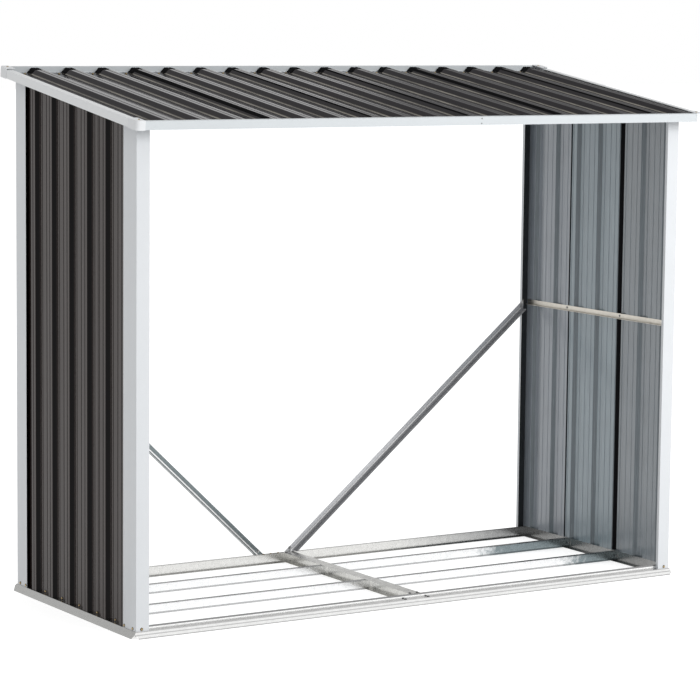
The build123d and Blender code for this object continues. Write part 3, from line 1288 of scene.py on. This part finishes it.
@dataclass
class SideWalls:
    """Ribbed side walls, their corner posts and the angle inside them."""

    finishes: Finishes
    fasteners: Fasteners
    profile: RibProfile = RibProfile(141 * MM, 13 * MM, 36 * MM, 14 * MM)
    thickness: float = 0.8 * MM
    phase_left: float = 56 * MM + FRAME_SHIFT
    phase_right: float = -19 * MM + FRAME_SHIFT
    slope: float = tan(radians(8.25))
    foot_z: float = 24.0 * MM
    screw_z: float = 31.5 * MM
    outer_face_x: float = 1160.2 * MM
    mid_rail_face_x: float = 1159.0 * MM
    post_screw_inset: float = 22.0 * MM
    post_screw_reach: float = 25.0 * MM
    post_edge: float = 9.5 * MM
    post_top_drops: tuple[float, float] = (70.0 * MM, 100.0 * MM)
    seam_widths: tuple[float, float] = (15.0 * MM, 7.0 * MM)

    def phase(self, side: Side) -> float:
        """Place of one rib centre of a wall."""
        return self.phase_left if side is Side.LEFT else self.phase_right

    def dress(self) -> None:
        """Build both walls and dress their posts and rails."""
        for side in Side:
            for place in ("front", "middle", "back"):
                self.sheet(side, place)
            self.seams(side)
            self.wall_screws(side)
            finish_node(f"mid_rail_{side.word}", self.finishes.steel_rail)
            for end in End:
                finish_node(f"post_{end.word}_{side.word}", self.finishes.post(side, end))
                self.post_screws(side, end)

    def sheet(self, side: Side, place: str) -> None:
        """Rolled sheet in the place of its CAD solid.

        Args:
            side: Wall of the sheet.
            place: Its place in the wall: front, middle or back.
        """
        node = f"wall_sheet_{place}_{side.word}"
        low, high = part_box(node)
        face = side.value * side.inner(low, high)
        top = high.z

        def foot(at: float, level: float) -> Vector:
            """Lower end of the sheet."""
            return Vector((side.value * (face + level), at, low.z))

        def head(at: float, level: float) -> Vector:
            """Upper end, cut to the slope of the roof."""
            return Vector((side.value * (face + level), at, top - (high.y - at) * self.slope))

        mesh = bmesh.new()
        rolled_sheet(
            mesh, self.profile.line(low.y, high.y, self.phase(side)), self.thickness, foot, head,
            True
        )
        # the last two coats paint shade on the rib flanks
        coats = [
            self.finishes.wall_outside, self.finishes.wall_inside[place], self.finishes.wall_flank,
            self.finishes.groove_inside
        ]
        piece = piece_from(f"side_sheet_{place}_{side.word}", mesh, coats)
        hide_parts(node)

    def seams(self, side: Side) -> None:
        """Black strips along the two seams inside a wall, as painted shadow of the laps.

        Args:
            side: The wall.
        """
        mesh = bmesh.new()
        for number, (before, width) in enumerate(zip(("front", "middle"), self.seam_widths)):
            low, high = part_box(f"wall_sheet_{before}_{side.word}")
            next_low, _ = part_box(f"wall_sheet_{('middle', 'back')[number]}_{side.word}")
            at = high.y if number == 0 else next_low.y
            face = side.value * side.inner(low, high) - (0.0 if number == 0 else 1.0 * MM)
            start = at - 1 * MM if number == 0 else at + 1 * MM - width
            line = [
                (y, level - 0.4 * MM)
                for y, level in self.profile.line(start, start + width, self.phase(side))
            ]
            top = high.z - (high.y - at) * self.slope - 4 * MM

            def tape(z: float) -> Callable[[float, float], Vector]:
                """Place on the strip at a height."""
                return lambda y, level: Vector((side.value * (face + level), y, z))

            # painted shadow: a thin black strip stands in for the shadow gap at each lap
            rolled_sheet(mesh, line, 0.35 * MM, tape(self.foot_z + 16.5 * MM), tape(top))
        piece_from(f"lap_tape_wall_{side.word}", mesh, [self.finishes.rubber])

    def wall_screws(self, side: Side) -> None:
        """Screws along the foot of a wall and through the angle inside it.

        Args:
            side: The wall.
        """
        spots = []
        pan = self.phase(side) + self.profile.pitch / 2
        _, post_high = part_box(f"post_front_{side.word}")
        back_low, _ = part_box(f"post_back_{side.word}")
        mid_low, mid_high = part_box(f"wall_sheet_middle_{side.word}")
        for number in range(-6, 7):
            y = pan + number * self.profile.pitch
            if post_high.y + 8 * MM < y < back_low.y - 8 * MM:
                lift = 1.0 * MM if mid_low.y < y < mid_high.y else 0.0
                x = self.outer_face_x + self.thickness + lift
                spots.append(
                    (Vector((side.value * x, y, self.screw_z)), Vector((side.value, 0, 0)))
                )
        self.fasteners.screws(f"wall_screws_{side.word}", spots, Slot.WALL, 0.95)
        rail_low, rail_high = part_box(f"mid_rail_{side.word}")
        face = side.value * self.mid_rail_face_x
        z = (rail_low.z + rail_high.z) / 2
        inner = [
            (Vector((face, y, z + 1 * MM)), Vector((-side.value, 0, 0)))
            for y in (
                mid_low.y + 8 * MM, mid_high.y - 8 * MM, rail_low.y + 14 * MM, rail_high.y - 14 * MM
            )
        ]
        self.fasteners.screws(f"mid_rail_screws_{side.word}", inner, Slot.STEEL, 0.8, True)

    def post_screws(self, side: Side, end: End) -> None:
        """Screws through the foot of a corner post, and the top of a back one.

        Args:
            side: Side of the post.
            end: End of the post.
        """
        low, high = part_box(f"post_{end.word}_{side.word}")
        outer = side.outer(low, high)
        corner = low.y if end is End.FRONT else high.y
        leg = high.y - low.y
        sideways, endways = Vector((side.value, 0, 0)), Vector((0, end.value, 0))
        spots = [
            (Vector((outer, corner - end.value * reach, self.screw_z)), sideways)
            for reach in (self.post_screw_reach, leg - self.post_edge)
        ]
        x = outer - side.value * self.post_screw_inset
        spots.append((Vector((x, corner, self.screw_z)), endways))
        if end is End.BACK:
            drops = self.post_top_drops
            spots += [(Vector((x, corner, high.z - drop)), endways) for drop in drops]
        self.fasteners.screws(f"post_screws_{end.word}_{side.word}", spots, Slot.TRIM)


@dataclass
class BackBraces:
    """The two angle braces of the open back, with their bolts."""

    finishes: Finishes
    fasteners: Fasteners
    rail_top: float = 40.0 * MM
    foot: tuple[float, float] = (-135.0 * MM, 8.0 * MM)
    top_x: float = 1130.0 * MM
    top_z: float = 978.0 * MM
    fold_at: float = 3.0 * MM
    plate: float = 1.2 * MM
    top_bolt: tuple[float, float] = (9.0 * MM, 27.0 * MM)
    foot_bolt: tuple[float, float] = (34.0 * MM, 14.0 * MM)
    foot_screws_x: tuple[float, ...] = (-118.0 * MM, -84.0 * MM, -50.0 * MM)
    foot_screw_inset: float = 42.5 * MM

    def fold(self, side: Side) -> tuple[float, float, float]:
        """Line along a brace where a fold is painted: a highlight on it and shade below.

        Args:
            side: Side of the brace.

        Returns:
            X and Z of the direction across it, and where the fold lies along that.
        """
        foot_x = self.foot[0] if side is Side.LEFT else self.foot[1]
        along = Vector(
            (side.value * self.top_x - foot_x, 0, self.top_z - self.rail_top)
        ).normalized()
        across = Vector((0, side.value, 0)).cross(along)
        return across.x, across.z, across.dot(Vector((foot_x, 0, self.rail_top))) + self.fold_at

    def dress(self) -> None:
        """Give the braces their finish and add their bolts."""
        forward = Vector((0, -1, 0))
        spots = []
        for side in Side:
            node = f"back_brace_{side.word}"
            finish_node(node, self.finishes.brace(side, self.fold(side)))
            low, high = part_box(node)
            end_x = side.outer(low, high)
            foot_x = side.inner(low, high)
            face = high.y - self.plate
            top_x = end_x - side.value * self.top_bolt[0]
            spots.append((Vector((top_x, face, high.z - self.top_bolt[1])), forward))
            foot_x += side.value * self.foot_bolt[0]
            spots.append((Vector((foot_x, face, self.rail_top + self.foot_bolt[1])), forward))
        self.fasteners.bolts("brace_bolts", spots, Slot.STEEL)
        _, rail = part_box("base_rail_back_left")
        y = rail.y - self.foot_screw_inset
        top = [(Vector((x, y, self.rail_top)), Vector((0, 0, 1))) for x in self.foot_screws_x]
        self.fasteners.screws("brace_foot_screws", top, Slot.STEEL, 0.9)


@dataclass
class Roof:
    """Lean-to roof: ribbed sheets, rib-end covers, painted lap shadows, trims and caps."""

    finishes: Finishes
    fasteners: Fasteners
    deck: RoofDeck = RoofDeck()
    profile: RibProfile = RibProfile(140 * MM, 17 * MM, 34 * MM, 15 * MM)
    phase: float = 38.0 * MM
    thickness: float = 0.8 * MM
    sheet_gap: float = 8.0 * MM
    lift: float = 1.0 * MM
    first_rib: int = -8
    rib_count: int = 17
    closure_length: float = 36.0 * MM
    cap_x: float = 1203.0 * MM
    cap_inset: float = 24.0 * MM
    cap_levels: tuple[float, float] = (20.9 * MM, 25.1 * MM)
    last_screw_x: float = 1190.0 * MM
    wide_laps: tuple[int, ...] = (4, 13)
    thin_laps: tuple[int, ...] = (7, 10, 16)

    def rib_x(self, number: int) -> float:
        """Centre of a rib, counted from 1 at the left."""
        return self.phase + (self.first_rib + number - 1) * self.profile.pitch

    def dress(self) -> None:
        """Build the sheets and dress the trims."""
        for number in range(1, 7):
            self.sheet(number)
        self.closures()
        self.lap_tape()
        for node in nodes_named("fascia"):
            finish_node(
                node, self.finishes.trim_across if "side" in node else self.finishes.trim_along
            )
        for node in ("roof_beam_front", "roof_beam_back"):
            finish_node(node, self.finishes.steel_along)
        self.cap_screws()
        self.roof_screws()
        self.joint_rivets()

    def sheet(self, number: int) -> None:
        """Rolled roof sheet in the place of its CAD solid.

        Args:
            number: Number of the sheet, from 1 at the left.
        """
        node = f"roof_sheet_{number}"
        low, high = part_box(node)
        lift = self.lift if number % 2 == 0 else 0.0

        mesh = bmesh.new()
        line = self.profile.line(low.x, high.x, self.phase)
        start, stop = self.sheet_gap, self.deck.run - self.sheet_gap
        ends = (self.deck.at_run(start, lift), self.deck.at_run(stop, lift))
        rolled_sheet(mesh, line, self.thickness, *ends)
        piece = piece_from(
            f"roof_panel_{number}", mesh, [self.finishes.roof_outside, self.finishes.roof_inside],
        )
        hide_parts(node)

    def closures(self) -> None:
        """Black cover over the upper end of each rib, darkening the rib ends."""
        mesh = bmesh.new()
        half = self.profile.crown / 2 + self.profile.run + 3 * MM
        end = self.deck.run - self.sheet_gap + 0.5 * MM
        for number in range(1, self.rib_count + 1):
            centre = self.rib_x(number)
            line = [
                (x, level + self.thickness + self.lift + 0.15 * MM)
                for x, level in self.profile.line(centre - half, centre + 10 * MM, self.phase)
            ]
            start = end - self.closure_length
            rolled_sheet(mesh, line, 0.6 * MM, self.deck.at_run(start), self.deck.at_run(end))
        piece_from("rib_closures", mesh, [self.finishes.rubber, self.finishes.rubber])

    def lap_tape(self) -> None:
        """Black strip along the upper edge of the left flank at each sheet lap: painted shadow."""
        mesh = bmesh.new()
        start, end = self.sheet_gap + 40 * MM, self.deck.run - self.sheet_gap - 10 * MM
        for numbers, width in ((self.wide_laps, 8.0 * MM), (self.thin_laps, 3.5 * MM)):
            for number in numbers:
                edge = self.rib_x(number) - self.profile.crown / 2
                line = self.profile.line(edge - width, edge + 2.5 * MM, self.phase)
                line = [(x, level + self.thickness + self.lift + 0.1 * MM) for x, level in line]
                ends = (self.deck.at_run(start), self.deck.at_run(end))
                # painted shadow: a thin black strip stands in for the shadow line of each lapped
                # edge
                rolled_sheet(mesh, line, 0.35 * MM, *ends)
        piece_from("lap_tape_roof", mesh, [self.finishes.rubber, self.finishes.rubber])

    def cap_screws(self) -> None:
        """One screw on top of each corner cap."""
        spots = []
        for side in Side:
            for end in End:
                node = f"roof_cap_{end.word}_{side.word}"
                finish_node(node, self.finishes.cap)
                run = self.cap_inset if end is End.FRONT else self.deck.run - self.cap_inset
                level = self.cap_levels[end is End.BACK]
                spots.append(
                    (self.deck.spot(side.value * self.cap_x, run, level), self.deck.normal())
                )
        self.fasteners.screws("cap_screws", spots, Slot.CAP, 0.9)

    def roof_screws(self) -> None:
        """Screws in the pans along the upper edge of the roof."""
        spots = []
        for number in range(0, self.rib_count + 1):
            x = self.rib_x(number) + self.profile.pitch / 2 + 14 * MM
            if abs(x) < self.last_screw_x:
                spots.append(
                    (self.deck.spot(x, self.deck.run - 40 * MM, self.thickness), self.deck.normal())
                )
        self.fasteners.screws("roof_screws", spots, Slot.ROOF)

    def joint_rivets(self) -> None:
        """Rivets at the joints of the front and back fascia."""
        spots = []
        for x, end in ((200 * MM, End.FRONT), (-200 * MM, End.BACK)):
            run = 2 * MM if end is End.FRONT else self.deck.run - 2 * MM
            facing = Vector((0, end.value * cos(self.deck.pitch), end.value * sin(self.deck.pitch)))
            for level in (-5 * MM, 13 * MM):
                spots.append((self.deck.spot(x - 7 * MM, run, level), facing))
        self.fasteners.screws("fascia_rivets", spots, Slot.TRIM, 0.45, True)


@dataclass
class Studio:
    """Pale floor, soft light and the camera.

    glow and shade are the directions of a bright and a dim patch of the surroundings
    that only reflections show.
    """

    azimuth: float = radians(-32.063)
    elevation: float = radians(6.861)
    roll: float = radians(0.598)
    focal_px: float = 2823.5
    image_px: float = 700.0
    aim_right: float = 2.9 * MM
    aim_up: float = 891.5 * MM
    distance: float = 10861.9 * MM
    sky: float = 0.64
    overhead: float = 0.32
    floor_fill: float = 0.68
    floor_colour: Colour = (0.82, 0.82, 0.82)
    key_power: float = 202.0
    key_place: tuple[float, float, float] = (2.2, -6.2, 3.5)
    key_target: tuple[float, float, float] = (0.0, 0.0, 0.9)
    key_size: tuple[float, float] = (3.6, 2.6)
    glow: tuple[float, float, float] = (0.527, -0.483, 0.706)
    shade: tuple[float, float, float] = (0.834, 0.482, 0.269)

    def build(self) -> None:
        """Make the camera, the lights and the stage."""
        self.camera()
        self.world()
        self.floor()
        self.key_light()
        bpy.context.scene.view_settings.view_transform = "Standard"

    def camera(self) -> None:
        """Camera at the angle of the photograph."""
        a, e, r = self.azimuth, self.elevation, self.roll
        back = Vector((sin(a) * cos(e), -cos(a) * cos(e), sin(e)))
        level = Vector((cos(a), sin(a), 0))
        upward = back.cross(level)
        right = level * cos(r) + upward * sin(r)
        up = upward * cos(r) - level * sin(r)
        data = bpy.data.cameras.new("camera")
        data.sensor_width = 36.0
        data.lens = 36.0 * self.focal_px / self.image_px
        data.clip_end = 300.0
        camera = bpy.data.objects.new("camera", data)
        bpy.context.scene.collection.objects.link(camera)
        turn = Matrix((right, up, back)).transposed().to_4x4()
        place = right * self.aim_right + up * self.aim_up + back * self.distance
        camera.matrix_world = Matrix.Translation(place + Vector((0, FRAME_SHIFT, 0))) @ turn
        bpy.context.scene.camera = camera

    def seen_rays(self, graph: Graph) -> Socket:
        """Mask of the rays that show the backdrop.

        Args:
            graph: Graph of the world or floor.

        Returns:
            1 for camera, glossy and transmission rays, else 0.
        """
        path = graph.add("LightPath")
        shown = graph.math("MAXIMUM", path.outputs["Is Camera Ray"], path.outputs["Is Glossy Ray"])
        return graph.math("MAXIMUM", shown, path.outputs["Is Transmission Ray"])

    def world(self) -> None:
        """White surroundings that reflections show dimmer overhead."""
        world = bpy.data.worlds.new("studio")
        world.use_nodes = True
        graph = Graph(world.node_tree)
        place = graph.add("TexCoord").outputs["Generated"]
        level = graph.spread(graph.axes(place)[2], 1.0, self.overhead, 0.16, 0.52)
        toward = graph.along(place, self.glow)
        level = graph.math("MAXIMUM", level, graph.spread(toward, 0.0, 1.0, 0.84, 0.96))
        beyond = graph.along(place, self.shade)
        level = graph.math("MULTIPLY", level, graph.spread(beyond, 1.0, 0.3, 0.896, 0.912))
        level = graph.math("MAXIMUM", level, graph.add("LightPath").outputs["Is Camera Ray"])
        seen = self.seen_rays(graph)
        soft = graph.math("MULTIPLY", graph.math("SUBTRACT", 1.0, seen), self.sky)
        strength = graph.math("ADD", graph.math("MULTIPLY", seen, level), soft)
        backdrop = graph.add("Background")
        graph.fill(backdrop, {"Color": (1.0, 1.0, 1.0), "Strength": strength})
        graph.feed(graph.add("OutputWorld").inputs["Surface"], backdrop.outputs[0])
        bpy.context.scene.world = world

    def floor(self) -> None:
        """Large pale floor with the store's soft shadow."""
        mesh = bmesh.new()
        bmesh.ops.create_grid(mesh, x_segments=2, y_segments=2, size=60)
        data = bpy.data.meshes.new("floor")
        mesh.to_mesh(data)
        mesh.free()
        material = bpy.data.materials.new("floor")
        material.use_nodes = True
        graph = Graph(material.node_tree)
        matt = graph.add("BsdfDiffuse")
        graph.feed(matt.inputs["Color"], self.floor_colour)
        glow = graph.add("Emission")
        graph.feed(
            glow.inputs["Strength"], graph.math("MULTIPLY", self.seen_rays(graph), self.floor_fill)
        )
        both = graph.add("AddShader")
        graph.fill(both, {0: matt.outputs[0], 1: glow.outputs[0]})
        graph.feed(graph.add("OutputMaterial").inputs["Surface"], both.outputs[0])
        data.materials.append(material)
        floor = bpy.data.objects.new("floor", data)
        floor.location.z = -0.0005
        bpy.context.scene.collection.objects.link(floor)

    def key_light(self) -> None:
        """Soft box at the front right."""
        data = bpy.data.lights.new("key", "AREA")
        data.shape = "RECTANGLE"
        data.size, data.size_y = self.key_size
        data.energy = self.key_power
        light = bpy.data.objects.new("key", data)
        place = Vector(self.key_place)
        light.location = place
        light.rotation_euler = (Vector(self.key_target) - place).to_track_quat("-Z", "Y").to_euler()
        light.visible_camera = light.visible_glossy = False
        bpy.context.scene.collection.objects.link(light)


def main() -> None:
    """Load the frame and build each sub-assembly."""
    logging.basicConfig(level=logging.INFO, format="%(message)s")
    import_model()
    finishes = Finishes()
    fasteners = Fasteners(finishes)
    Studio().build()
    for assembly in (
        FloorFrame(finishes, fasteners), SideWalls(finishes, fasteners),
        BackBraces(finishes, fasteners), Roof(finishes, fasteners)
    ):
        assembly.dress()
        LOG.info("%s is dressed", type(assembly).__name__)


if __name__ == "__main__":
    main()
